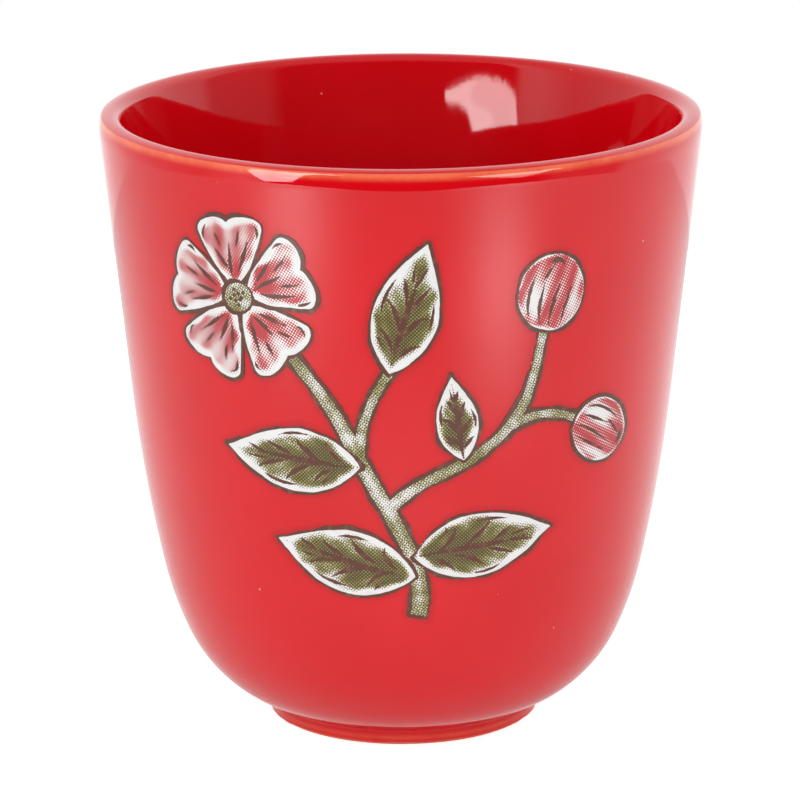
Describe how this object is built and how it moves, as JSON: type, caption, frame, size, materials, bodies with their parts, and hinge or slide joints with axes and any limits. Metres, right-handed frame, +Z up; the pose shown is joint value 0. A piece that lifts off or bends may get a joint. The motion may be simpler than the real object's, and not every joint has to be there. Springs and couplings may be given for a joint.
{
  "type": "handleless drinking cup",
  "caption": "Deep round-bottomed glazed ceramic cup with no handle, on a short foot ring, with a printed flower sprig on its front, for hot or cold drinks.",
  "frame": {"origin": "middle of the foot ring's underside, on the surface that the cup stands on", "axes": "+Z up the cup's axis; the printed front faces -Y"},
  "size_m": [0.09, 0.09, 0.0931],
  "materials": {
    "clay": "bare fired clay, matt",
    "red_glaze": "glossy red glaze, breaking to orange on edges",
    "red_lining": "glossy red glaze",
    "white_print": "glossy white transfer print",
    "olive_print": "glossy olive dots over white",
    "rose_print": "glossy rose dots over white",
    "brown_print": "glossy dark brown line"
  },
  "bodies": {
    "root": {"clay_body": "clay", "outer_glaze": "red_glaze", "lining_glaze": "red_lining", "base_glaze": "red_glaze", "print_white_ground": "white_print", "print_olive_colour": "olive_print", "print_rose_colour": "rose_print", "print_brown_line": "brown_print"}
  },
  "joints": []
}
